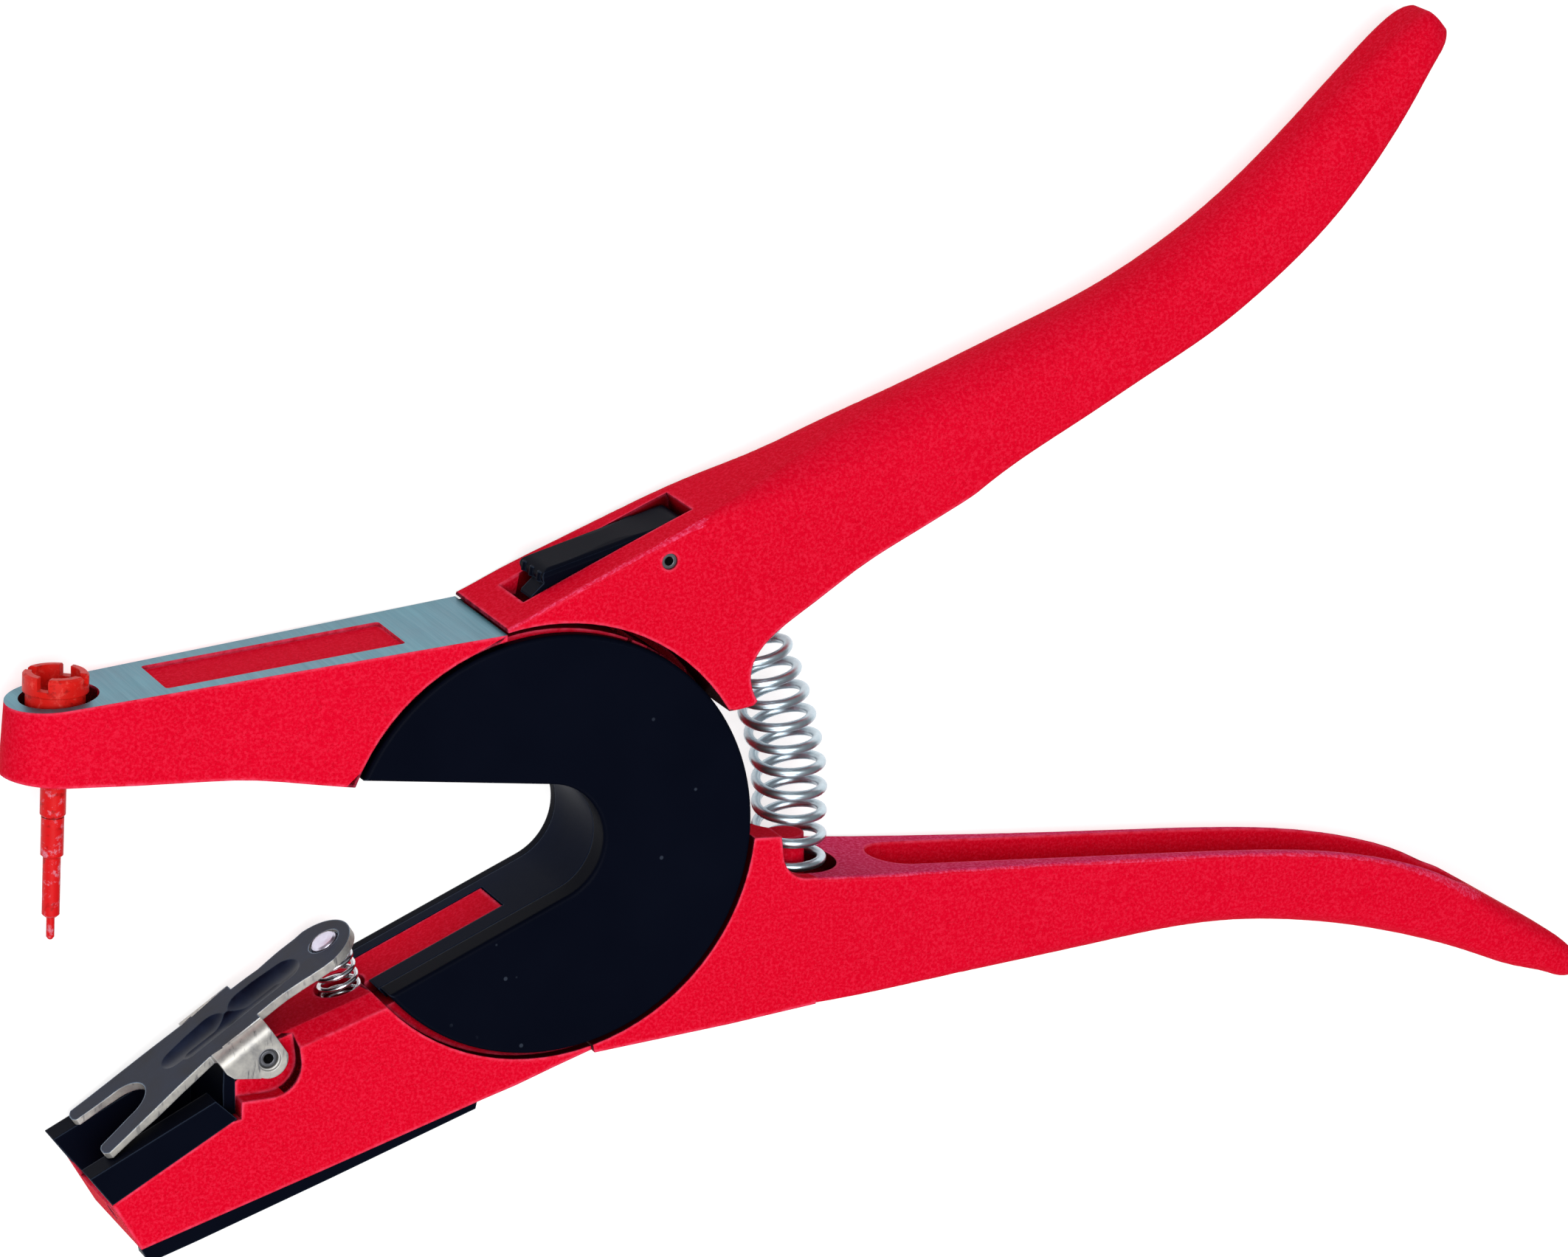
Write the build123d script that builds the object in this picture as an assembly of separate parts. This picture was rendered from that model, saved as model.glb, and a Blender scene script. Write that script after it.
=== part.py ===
from build123d import *
import os
from math import sin, cos, radians, acos, atan2, hypot, sqrt

# Ear tag applicator, a crossing plier that lies flat on its side.
# Drawing frame: X towards the handle ends, Y towards the pin jaw and the upper
# handle, Z out of the upper side face. The virtual pivot of the two levers is at
# X = 0, Y = 0. Everything is shifted at the end so that the origin is the middle
# of the footprint, on the surface that the tool lies on.

# ---------------------------------------------------------------- dimensions, mm
SHIFT_X, SHIFT_Y = 52.0, 29.0      # footprint centre in the drawing frame
WIDTH = 21.0                       # side face to side face at the hub
MID = WIDTH / 2
R_CUT = 34.1                       # castings' cut-outs round the side covers
R_COVER = 33.2                     # rim of the far cover
R_NEAR, NEAR_X, NEAR_Y = 32.75, 0.6, -0.6   # rim of the near cover and its centre
R_WEB = 32.8                       # rim of the lapped webs
R_WEB_IN = 12.0
R_THROAT = 9.35                    # round end of the throat
THROAT_X, THROAT_Y = -0.15, -0.3   # its centre
UPPER_DEG, LOWER_DEG = 8.05, 22.8  # slopes of the throat's two straight sides
LINER_T = 1.9
COVER_T = 1.8
FAR_WEB = (1.8, 10.4)              # web of the anvil lever
NEAR_WEB = (10.6, 19.0)            # web of the pin lever
SQUEEZE_DEG = 28.0                 # travel of the handles
GUIDE_R = 23.0                     # guide pins' circle round the virtual pivot
GUIDE_AT = (85.0, 20.0, -33.0)
GUIDE_PIN_R, GUIDE_BUSH_R = 2.5, 3.45
SPRING_R = 43.5                    # bent axis of the main spring
SPRING_OD, SPRING_ID = 13.2, 9.3
PIN_TOP, PIN_TIP = (-72.75, 32.5), (-74.3, -8.7)   # tag pin's axis, a little off square
PIN_STEPS = ((24.4, 1.915), (10.6, 1.7), (3.95, 1.325), (-5.2, 0.59), (-8.7, 0.0))
LATCH_PIVOT = (19.35, 41.65)
CLIP_PIVOT = (-43.8, -28.6)
CLIP_ORIGIN = (-31.7, -14.8)       # rivet on the clip lever's upper face
CLIP_DEG = 33.0
SHEET = 1.35                       # clip lever's sheet steel


def pol(r, a):
    return (r * cos(radians(a)), r * sin(radians(a)))


def prism(pts, z0, z1):
    return extrude(Pos(0, 0, z0) * make_face(Polyline(*pts, close=True)), z1 - z0)


def face_prism(edges, z0, z1):
    return extrude(Pos(0, 0, z0) * make_face(edges), z1 - z0)


def disc(r, z0, z1, x=0.0, y=0.0):
    return Pos(x, y, (z0 + z1) / 2) * Cylinder(r, z1 - z0)


def ring(r0, r1, z0, z1, x=0.0, y=0.0):
    return disc(r1, z0, z1, x, y) - disc(r0, z0 - 1, z1 + 1, x, y)


def sector(r0, r1, a0, a1, z0, z1):
    am = (a0 + a1) / 2
    return face_prism(
        [
            ThreePointArc(pol(r1, a0), pol(r1, am), pol(r1, a1)),
            Line(pol(r1, a1), pol(r0, a1)),
            ThreePointArc(pol(r0, a1), pol(r0, am), pol(r0, a0)),
            Line(pol(r0, a0), pol(r1, a0)),
        ],
        z0,
        z1,
    )


def wedge(r, a0, a1, z0, z1):
    am = (a0 + a1) / 2
    return face_prism(
        [
            ThreePointArc(pol(r, a0), pol(r, am), pol(r, a1)),
            Line(pol(r, a1), (0, 0)),
            Line((0, 0), pol(r, a0)),
        ],
        z0,
        z1,
    )


def rod(a, b, r, r2=None):
    """Round bar from point a to point b."""
    ax, ay, az = a
    dx, dy, dz = b[0] - ax, b[1] - ay, b[2] - az
    n = sqrt(dx * dx + dy * dy + dz * dz)
    plane = Plane(origin=a, z_dir=(dx / n, dy / n, dz / n))
    if r2 is None:
        return extrude(plane * Circle(r), n)
    return loft([plane * Circle(r), plane.offset(n) * Circle(r2)])


def throat(d, z0, z1):
    """Space between the jaws' inner faces, grown by d."""
    r = R_THROAT + d
    u, l = radians(UPPER_DEG), radians(LOWER_DEG)
    cx, cy = THROAT_X, THROAT_Y
    up = (cx + r * sin(u), cy + r * cos(u))
    lo = (cx + r * sin(l), cy - r * cos(l))
    far_up = (up[0] - 90 * cos(u), up[1] + 90 * sin(u))
    far_lo = (lo[0] - 90 * cos(l), lo[1] - 90 * sin(l))
    return face_prism(
        [
            Line(far_up, up),
            ThreePointArc(up, (cx + r, cy), lo),
            Line(lo, far_lo),
            Line(far_lo, far_up),
        ],
        z0,
        z1,
    )


def section(top, bottom, width, r_top, r_bottom, r_far=None):
    """Handle section between two outline points, with its own corner radii."""
    tx, ty = top
    bx, by = bottom
    h = hypot(tx - bx, ty - by)
    ex, ey = (tx - bx) / h, (ty - by) / h
    # local x is the frame's Z, local y runs from the top edge to the bottom edge
    plane = Plane(
        origin=((tx + bx) / 2, (ty + by) / 2, MID), x_dir=(0, 0, 1), z_dir=(ey, -ex, 0)
    )
    w, g = width / 2, h / 2
    rn, rb = r_top, r_bottom
    rf = r_top if r_far is None else r_far

    def mid(cx, cy, r, sx, sy):
        return (cx + sx * r * 0.70710678, cy + sy * r * 0.70710678)

    return plane * make_face(
        [
            Line((-w + rf, -g), (w - rn, -g)),
            ThreePointArc((w - rn, -g), mid(w - rn, -g + rn, rn, 1, -1), (w, -g + rn)),
            Line((w, -g + rn), (w, g - rb)),
            ThreePointArc((w, g - rb), mid(w - rb, g - rb, rb, 1, 1), (w - rb, g)),
            Line((w - rb, g), (-w + rb, g)),
            ThreePointArc((-w + rb, g), mid(-w + rb, g - rb, rb, -1, 1), (-w, g - rb)),
            Line((-w, g - rb), (-w, -g + rf)),
            ThreePointArc((-w, -g + rf), mid(-w + rf, -g + rf, rf, -1, -1), (-w + rf, -g)),
        ]
    )


def handle(rows):
    return loft([section(*row) for row in rows])


def pin_x(y):
    """X of the tag pin's axis at one height."""
    return PIN_TOP[0] + (y - PIN_TOP[1]) * (PIN_TOP[0] - PIN_TIP[0]) / (PIN_TOP[1] - PIN_TIP[1])


def pin_rod(y0, y1, r, r1=None):
    """Round bar on the tag pin's axis."""
    return rod((pin_x(y0), y0, MID), (pin_x(y1), y1, MID), r, r1)


def clip_uv(u, v):
    """Clip lever's own axes: u along its plate, v out of its upper face."""
    c, s = cos(radians(CLIP_DEG)), sin(radians(CLIP_DEG))
    return (CLIP_ORIGIN[0] + u * c - v * s, CLIP_ORIGIN[1] + u * s + v * c)


parts = {}

# ------------------------------------------------------------- pin lever casting
# Upper jaw and lower handle, joined by the web in the near half of the hub.
jaw_edges = [
    Line((-92.0, 27.14), (-6.55, 33.2)),
    Line((-6.55, 33.2), (-6.55, 13.6)),
    Line((-6.55, 13.6), (-30.4, 12.2)),
    Line((-30.4, 12.2), (-31.6, 12.4)),
    Spline(
        [(-31.6, 12.4), (-38.7, 13.75), (-46.9, 15.15), (-54.0, 15.65), (-61.0, 16.0), (-75.0, 16.95), (-92.0, 18.2)]
    ),
    Line((-92.0, 18.2), (-92.0, 27.14)),
]
jaw = face_prism(jaw_edges, 0, WIDTH)


def nose_plan(y, cx, r):
    """Plan of the upper jaw at one height: a round nose that widens to the hub."""
    ex, ez = -6.0, MID
    dx, dz = ex - cx, ez
    t = atan2(dz, dx) + acos(r / hypot(dx, dz))
    tx, tz = cx + r * cos(t), r * sin(t)
    plane = Plane(origin=(0, y, MID), x_dir=(1, 0, 0), z_dir=(0, -1, 0))
    return plane * make_face(
        [
            Line((ex, ez), (tx, tz)),
            ThreePointArc((tx, tz), (cx - r, 0), (tx, -tz)),
            Line((tx, -tz), (ex, -ez)),
            Line((ex, -ez), (0, -ez)),
            Line((0, -ez), (0, ez)),
            Line((0, ez), (ex, ez)),
        ]
    )


jaw &= loft([nose_plan(10.0, -74.1, 8.0), nose_plan(36.0, -72.4, 7.2)], ruled=True)
jaw -= disc(R_CUT - 0.5, -1, 10.5)
jaw -= disc(33.15, 10.4, WIDTH + 1, 0.6, -0.1)

hub_block = prism(
    [
        (7.95, -34.5), (30.0, -33.05), (44.6, -31.75), (44.6, -11.3), (43.25, -11.25), (42.3, -11.14),
        (41.0, -10.65), (40.07, -9.93), (39.35, -9.0), (38.9, -8.0), (38.72, -6.75), (38.4, -3.9),
        (34.0, -3.6), (30.0, -3.3), (18.0, -8.0), (4.0, -17.5),
    ],
    0,
    WIDTH,
)
hub_block -= disc(R_CUT, -1, WIDTH + 1)

low_rows = [
    ((44.0, -11.3), (44.0, -31.8), 21.0, 0.5, 0.7),
    ((50.0, -11.9), (50.3, -31.75), 20.7, 0.6, 1.0),
    ((58.0, -12.7), (58.6, -31.65), 19.7, 0.7, 1.6),
    ((68.0, -13.6), (69.0, -31.4), 18.2, 0.7, 2.2),
    ((80.0, -14.65), (81.0, -31.05), 16.9, 0.8, 2.8),
    ((94.0, -15.9), (94.8, -30.5), 15.8, 0.8, 3.4),
    ((108.0, -17.1), (107.8, -29.95), 15.1, 0.8, 3.8),
    ((121.0, -18.35), (119.3, -30.3), 14.5, 0.8, 4.0),
    ((134.0, -20.1), (130.7, -31.9), 14.1, 0.9, 4.2),
    ((147.0, -23.2), (142.3, -34.5), 13.6, 1.1, 4.2),
    ((158.0, -27.5), (152.8, -37.65), 13.1, 1.8, 3.8),
    ((168.0, -33.35), (163.2, -41.5), 12.2, 2.8, 3.0),
    ((176.6, -38.75), (172.6, -45.45), 11.2, 2.9, 2.6),
    ((181.8, -42.35), (178.8, -47.5), 10.0, 2.2, 2.3),
    ((184.4, -44.9), (182.0, -48.7), 8.6, 1.6, 1.9),
    ((185.6, -46.5), (184.2, -48.6), 6.4, 0.8, 0.9),
]
low_handle = handle(low_rows)
# Long channel in the flat inner face, open to the other handle.
channel = prism(
    [
        (50.0, 0.0), (50.0, -18.9), (62.0, -20.0), (94.0, -22.4), (120.0, -24.4), (134.0, -26.0),
        (147.0, -28.6), (156.0, -31.3), (163.0, -33.0), (171.0, -33.5), (171.0, 0.0),
    ],
    4.8,
    15.8,
)
stadium = Plane(origin=(0, -60, 10.3), x_dir=(1, 0, 0), z_dir=(0, 1, 0))
channel &= extrude(stadium * Pos(110.95, 0) * SlotOverall(106.1, 10.98), 80)
low_handle -= channel

near_web = sector(R_WEB_IN, R_WEB, -76.8, 125.0, *NEAR_WEB)
cut_dir = radians(90 - UPPER_DEG - SQUEEZE_DEG - 0.5)
nx, ny = cos(cut_dir), sin(cut_dir)
lim = R_THROAT + LINER_T + 0.25
near_web -= prism(
    [
        (nx * lim, ny * lim), (nx * lim - ny * 60, ny * lim + nx * 60),
        (-nx * 20 - ny * 60, -ny * 20 + nx * 60), (-nx * 20, -ny * 20),
    ],
    NEAR_WEB[0] - 1,
    NEAR_WEB[1] + 1,
)
near_web -= sector(17.4, 28.6, -90, 135, 17.6, 20.0)
for at in GUIDE_AT:
    a0, a1 = at - SQUEEZE_DEG - 0.5, at + 0.5
    g = GUIDE_BUSH_R + 0.07
    near_web -= sector(GUIDE_R - g, GUIDE_R + g, a0, a1, 9.0, 20.0)
    near_web -= disc(g, 9.0, 20.0, *pol(GUIDE_R, a0))
    near_web -= disc(g, 9.0, 20.0, *pol(GUIDE_R, a1))
near_web -= sector(31.0, 36.0, 62.2, 67.8, NEAR_WEB[0] - 0.1, 17.5)
near_web -= sector(31.0, 36.0, 64.1, 65.5, 17.0, 20.0)

pin_lever = jaw + hub_block + low_handle + near_web
pin_lever += sector(R_WEB - 0.4, R_CUT + 0.3, 101.3, 123.0, *NEAR_WEB) & prism(
    [(-60, 33.2 - 53.45 * 0.0709), (-6.55, 33.2), (-6.55, 0), (-60, 0)], 0, WIDTH
)
pin_lever += sector(R_WEB - 0.4, R_CUT + 0.3, -76.8, -6.6, *NEAR_WEB)
# Round pocket and peg for the main spring.
pin_lever -= rod((43.6, -15.0, MID), (43.6, 2.0, MID), 8.1)
pin_lever += rod((43.6, -15.3, MID), (43.6, -7.2, MID), 3.2, 3.0)
# Nose: counterbore, threaded bush seat, pin hole.
pin_lever -= rod((pin_x(24.4) + 0.5, 24.4, MID), (pin_x(36.0) + 0.5, 36.0, MID), 5.9)
pin_lever -= pin_rod(18.6, 25.0, 4.6)
pin_lever -= pin_rod(14.0, 25.0, 2.1)
# Shallow bare panel in the ground top face.
tilt = Plane(origin=(-39.0, 33.2 - 32.45 * 0.0709, MID), x_dir=(1, 0.0709, 0), z_dir=(-0.0709, 1, 0))
pin_lever -= extrude(tilt.offset(-0.55) * Pos(-0.35, 0) * RectangleRounded(37.3, 11.4, 0.6), 3)
slab = Pos(50, 30, MID) * Box(400, 300, WIDTH)
parts["pin_lever_casting"] = pin_lever & slab

# ------------------------------------------------------- anvil lever casting
# Lower jaw and upper handle, joined by the web in the far half of the hub.
P1, P2, P3, P4 = (-72.2, -43.0), (-68.8, -47.6), (-49.3, -36.8), (-52.6, -33.6)
lower = prism(
    [
        (7.35, -33.95), (1.2, -35.9), (-4.8, -37.9), (-10.5, -39.5), (-34.8, -46.7), (-64.4, -55.3),
        P2, P3, (-50.0, -33.2), (-46.9, -30.6), (-43.8, -26.3), (-41.0, -25.65), (-24.4, -20.4),
        (-18.0, -15.0), (6.0, -15.0),
    ],
    0,
    WIDTH,
)
lower += disc(3.0, 0.5, WIDTH - 0.5, *CLIP_PIVOT)
# Bevels on both long top edges of the jaw.


def bevel_face(x, side):
    y = -20.4 + (x + 24.4) * 0.3163
    z0, z1, z2 = (WIDTH - 3.6, WIDTH, WIDTH + 1) if side > 0 else (3.6, 0.0, -1.0)
    plane = Plane(origin=(x, y, 0), x_dir=(0, 0, 1), z_dir=(1, 0, 0))
    return plane * make_face(Polyline((z0, -0.05), (z1, 1.9), (z2, 2.0), (z2, -4.0), (z0, -4.0), close=True))


for side in (-1, 1):
    lower -= loft([bevel_face(-44.0, side), bevel_face(-16.0, side)], ruled=True)
lower -= disc(R_CUT, -1, WIDTH + 1)
hub_part = wedge(R_CUT + 0.3, -149.0, -79.0, COVER_T, WIDTH - COVER_T)
hub_part -= throat(LINER_T + 0.05, 0, WIDTH)
rib = wedge(R_CUT + 0.8, -160.0, -79.0, 4.15, 12.75) - throat(0.15, 0, WIDTH)
rib &= prism([(-3.9, -60), (-3.9, 0), (-60, 0), (-60, -60)], 0, WIDTH)
rib &= throat(6.0, 0, WIDTH)
far_web = sector(R_WEB_IN - 0.4, R_WEB, -85.0, 156.0, *FAR_WEB) - throat(LINER_T + 0.05, 0, WIDTH)

up_rows = [
    ((-9.0, 33.15), (-5.2, 23.8), 21.0, 0.45, 0.5, 0.6),
    ((-1.0, 36.45), (3.9, 24.3), 21.0, 0.5, 0.5, 0.9),
    ((8.0, 40.35), (16.2, 19.8), 21.0, 0.6, 0.5, 2.0),
    ((18.5, 44.8), (29.6, 17.0), 20.9, 0.8, 0.5, 3.4),
    ((29.0, 49.0), (40.6, 20.2), 20.4, 1.8, 0.5, 4.8),
    ((39.5, 52.7), (49.6, 27.9), 19.2, 4.2, 0.5, 6.2),
    ((50.0, 56.8), (58.6, 35.9), 17.9, 6.6, 0.6),
    ((61.0, 61.0), (68.0, 43.9), 17.0, 7.3, 0.7),
    ((71.85, 65.0), (77.8, 50.2), 16.4, 7.2, 0.8),
    ((82.8, 69.1), (88.4, 55.6), 16.0, 7.0, 0.9),
    ((93.8, 73.4), (99.7, 61.4), 15.5, 6.7, 1.0),
    ((104.3, 78.7), (111.0, 67.3), 15.0, 6.4, 1.1),
    ((114.1, 85.0), (121.5, 74.4), 14.6, 6.2, 1.2),
    ((123.3, 92.4), (131.1, 82.6), 14.3, 6.0, 1.3),
    ((131.9, 100.2), (139.3, 92.0), 14.0, 5.5, 1.4),
    ((139.4, 107.1), (145.6, 101.0), 13.4, 4.7, 1.5),
    ((144.9, 111.6), (149.4, 106.6), 12.2, 3.4, 1.6),
    ((147.4, 113.2), (151.2, 108.6), 10.4, 2.5, 1.7),
    ((149.2, 113.7), (152.0, 110.4), 8.0, 1.8, 1.4),
]
up_handle = handle(up_rows)
keep = face_prism(
    [
        Line((-6.45, 20.0), (-6.45, 60.0)),
        Line((-6.45, 60.0), (170.0, 140.0)),
        Line((170.0, 140.0), (170.0, 90.0)),
        Line((170.0, 90.0), (128.0, 70.0)),
        Line((128.0, 70.0), (79.6, 50.35)),
        Spline([(79.6, 50.35), (70.2, 45.9), (60.0, 41.2), (50.9, 36.9), (43.2, 32.35), (37.2, 28.7), (34.1, 25.7), (32.9, 22.8), (33.1, 20.3), (34.0, 18.2)]),
        Line((34.0, 18.2), (33.4, 17.5)),
        Line((33.4, 17.5), (30.4, 15.75)),
        Line((30.4, 15.75), (20.0, 14.0)),
        Line((20.0, 14.0), (-6.45, 20.0)),
    ],
    -1,
    WIDTH + 1,
)
up_handle &= keep
up_handle -= disc(R_CUT, -1, WIDTH + 1)
# Hollow for the spring between the two side walls, with its seat and peg.
up_handle -= sector(37.0, 56.0, 4.0, 43.5, 3.4, 17.6)
seat = pol(SPRING_R, 43.5)
tang = (sin(radians(43.5)), -cos(radians(43.5)))
up_handle += rod(
    (seat[0] - tang[0] * 0.5, seat[1] - tang[1] * 0.5, MID),
    (seat[0] + tang[0] * 6.0, seat[1] + tang[1] * 6.0, MID),
    3.0,
)
# Long channel in the inner face of the upper handle.
up_channel = prism(
    [(58.0, 30.0), (58.0, 47.0), (72.0, 54.2), (88.0, 61.6), (100.0, 68.2), (112.0, 76.4), (122.0, 84.6), (131.0, 90.0), (150.0, 92.0), (150.0, 30.0)],
    5.6,
    15.4,
)
up_handle -= up_channel
# Slot for the latch lever, open through to the web's rim at its front.
slot = prism(
    [(-2.1, 36.9), (-0.6, 33.2), (4.6, 33.2), (5.4, 35.0), (14.0, 32.0), (23.0, 36.6), (25.9, 40.0), (25.9, 45.0), (24.4, 52.0), (-6.6, 48.0)],
    5.7,
    15.3,
)
slot -= disc(35.3, 0, WIDTH) - prism([(-2.1, 36.9), (-0.6, 33.0), (4.6, 33.0), (5.4, 36.0)], 0, WIDTH)
up_handle -= slot
up_handle -= rod((*LATCH_PIVOT, -1), (*LATCH_PIVOT, WIDTH + 1), 1.25)

anvil = lower + hub_part + rib + far_web + up_handle
anvil += sector(R_WEB - 0.4, R_CUT + 0.3, 29.6, 100.2, *FAR_WEB)
# Recess for the clip lever's ears on both sides of the jaw.
for z0, z1 in ((-1.0, 3.35), (WIDTH - 2.75, WIDTH + 1)):
    anvil -= disc(4.7, z0, z1, CLIP_PIVOT[0], CLIP_PIVOT[1] - 1.0)
    anvil -= prism([(-39.12, -29.2), (-40.2, -20.0), (-58.0, -20.0), (-58.0, -38.0), (-48.6, -37.0), (-48.5, -34.3), (-43.8, -34.3)], z0, z1)
# Seat for the female tag: a channel between the two side walls.
fl = 3.0
anvil -= prism(
    [
        (P2[0] - 6.0, P2[1] - 3.3 - fl), (-49.0, -39.79), (-49.3, -33.2), (-52.0, -20.0), (-90.0, -20.0),
    ],
    2.75,
    WIDTH - 2.75,
)
back_plan = [(-50.5, -40.58), (-48.6, -39.57), (-48.6, -31.8), (-48.9, -29.2), (-50.3, -29.2), (-50.5, -33.0)]
anvil -= prism(back_plan, 2.75, WIDTH - 2.75)
# Hole in the front end, pocket for the clip spring, hinge pin hole.
anvil -= rod((-69.3, -53.0, 14.0), (-57.9, -46.75, 14.0), 1.45)
SP0, SPD = (-28.4, -25.2), (-0.2625, 0.9649)
anvil -= rod((SP0[0], SP0[1], MID), (SP0[0] + SPD[0] * 9, SP0[1] + SPD[1] * 9, MID), 3.9)
anvil -= rod((*CLIP_PIVOT, -1), (*CLIP_PIVOT, WIDTH + 1), 1.5)
for at in GUIDE_AT:
    anvil -= disc(GUIDE_PIN_R, 0, 12, *pol(GUIDE_R, at))
parts["anvil_lever_casting"] = anvil & slab
parts["tag_seat_back"] = prism(back_plan, 3.0, WIDTH - 2.75)

# ------------------------------------------------------------- covers and liner
near_cover = disc(R_NEAR, WIDTH - COVER_T, WIDTH, NEAR_X, NEAR_Y) - throat(0, 0, 30)
lip = (throat(LINER_T, 16.85, WIDTH - COVER_T) - throat(0, 0, 30)) & disc(R_NEAR, 10, 22, NEAR_X, NEAR_Y)
near_cover += lip
near_cover = fillet(near_cover.edges().filter_by_position(Axis.Z, WIDTH - 1e-3, WIDTH + 1e-3), 0.6)
parts["near_cover"] = near_cover

far_cover = disc(R_COVER, 0, COVER_T) - throat(0, -1, 30)
for at in GUIDE_AT:
    x, y = pol(GUIDE_R, at)
    far_cover -= disc(1.6, -1, 3, x, y)
    far_cover -= rod((x, y, -0.01), (x, y, 1.55), 3.05, 1.6)
parts["far_cover"] = far_cover

liner = (throat(LINER_T, COVER_T, 16.8) - throat(0, 0, 30)) & disc(R_COVER - 0.2, 0, 30)
liner -= sector(32.3, 36.0, 150, 190, 0, 30)
liner -= prism([(-3.7, -60), (-3.7, -9.0), (-10.0, -9.0), (-60, -30), (-60, -60)], 4.0, 12.9)
parts["throat_liner"] = liner

# ------------------------------------------------------------- virtual pivot hardware
pins, bushes, clips, screws = [], [], [], []
for at in GUIDE_AT:
    x, y = pol(GUIDE_R, at)
    pins.append(disc(GUIDE_PIN_R, COVER_T, WIDTH - COVER_T, x, y) - disc(1.25, 0, 8.2, x, y) - ring(2.1, 3.0, 17.7, 18.6, x, y))
    bushes.append(ring(GUIDE_PIN_R, GUIDE_BUSH_R, 10.6, 17.5, x, y))
    clips.append(ring(2.1, 4.6, 17.7, 18.6, x, y) - Pos(*pol(GUIDE_R + 4, at), 18.15) * Rot(0, 0, at) * Box(5.0, 2.6, 2))
    screws.append(disc(1.25, 1.0, 7.6, x, y) + rod((x, y, 0.15), (x, y, 1.45), 2.9, 1.6) - Pos(x, y, 0.4) * extrude(RegularPolygon(1.1, 6), 1.4, both=True))
parts["guide_pins"] = pins
parts["guide_bushes"] = bushes
parts["guide_retaining_clips"] = clips
parts["cover_screws"] = screws

# ------------------------------------------------------------- main spring (space it fills)
spring = ring(SPRING_ID / 2, SPRING_OD / 2, 0, 1)
band = Plane.XZ * Pos(SPRING_R, MID) * (Circle(SPRING_OD / 2) - Circle(SPRING_ID / 2))
bent = revolve(band, Axis.Z, 43.2)
if bent.bounding_box().min.Y < -1:
    bent = revolve(band, Axis((0, 0, 0), (0, 0, -1)), 43.2)
straight = extrude(Plane(origin=(SPRING_R, -14.95, MID), z_dir=(0, 1, 0)) * (Circle(SPRING_OD / 2) - Circle(SPRING_ID / 2)), 14.95)
parts["main_spring"] = bent + straight

# ------------------------------------------------------------- tag pin and its holder
pin = pin_rod(22.0, 25.6, 2.9)
pin += pin_rod(10.6, 22.5, 1.915)
pin += pin_rod(10.1, 10.6, 1.45, 1.915) + pin_rod(4.35, 10.2, 1.7)
pin += pin_rod(3.95, 4.4, 1.25, 1.7) + pin_rod(-4.8, 4.0, 1.325)
pin += pin_rod(-5.2, -4.8, 0.9, 1.325) + pin_rod(-8.3, -5.1, 0.62) + pin_rod(-8.7, -8.3, 0.32, 0.62)
parts["tag_pin"] = pin

bush = pin_rod(18.7, 24.3, 4.6) - pin_rod(17.0, 26.0, 3.4)
parts["pin_bush"] = bush

nut = pin_rod(24.6, 29.4, 4.4)
nut += pin_rod(29.4, 31.85, 4.85) + pin_rod(31.85, 32.2, 4.85, 4.5)
nut += pin_rod(19.4, 24.7, 3.4)
nut -= pin_rod(27.0, 33.0, 3.5)
nut -= pin_rod(22.0, 25.7, 2.9)
nut -= pin_rod(18.0, 23.0, 1.915)
for turn in (48, 138):
    nut -= Pos(pin_x(31.6), 31.6, MID) * Rot(0, turn, 0) * Box(12.0, 2.3, 1.75)
parts["pin_retainer"] = nut

# ------------------------------------------------------------- tag clip
plate_top = [(4.5, 0.0), (-2.7, 0.0), (-6.5, 0.3), (-12.0, 0.5), (-16.0, 0.5), (-25.0, 0.2), (-31.0, -0.1), (-36.0, -0.4), (-41.0, -0.7), (-45.3, -0.9)]
top_line = [clip_uv(u, v) for u, v in plate_top]
bot_line = [clip_uv(u, v - (SHEET if u > -40 else 1.05)) for u, v in plate_top]
plate = prism(top_line + bot_line[::-1], 0.9, WIDTH - 0.9)
clip_plane = Plane(
    origin=(*clip_uv(0, -6), MID),
    x_dir=(cos(radians(CLIP_DEG)), sin(radians(CLIP_DEG)), 0),
    z_dir=(-sin(radians(CLIP_DEG)), cos(radians(CLIP_DEG)), 0),
)
# local y of this plane is -Z of the frame; the plan is symmetric about the middle
half_plan = [
    (-1.2, 6.5), (-5.2, 6.4), (-10.0, 5.9), (-14.9, 6.1), (-14.9, 7.4), (-24.0, 7.4), (-24.3, 6.9), (-31.0, 7.5), (-44.6, 9.0),
]
plan_edges = [ThreePointArc((-1.2, 6.5), (4.4, 0.0), (-1.2, -6.5))]
far_plan = [
    (-1.2, 6.5), (-5.2, 6.0), (-10.0, 5.1), (-14.9, 5.3), (-14.9, 6.8), (-24.0, 6.8), (-24.3, 6.6), (-31.0, 7.4), (-44.6, 9.0),
]
for k, side in ((1, far_plan), (-1, half_plan)):
    plan_edges += [Line((a, k * b), (c, k * d)) for (a, b), (c, d) in zip(side[:-1], side[1:])]
    plan_edges += [
        ThreePointArc((-44.6, k * 9.0), (-45.35, k * 7.3), (-44.8, k * 5.6)),
        Line((-44.8, k * 5.6), (-38.6, k * 4.4)),
    ]
plan_edges += [ThreePointArc((-38.6, 4.4), (-34.2, 0.0), (-38.6, -4.4))]
plate &= extrude(clip_plane * make_face(plan_edges), 14)
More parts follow.
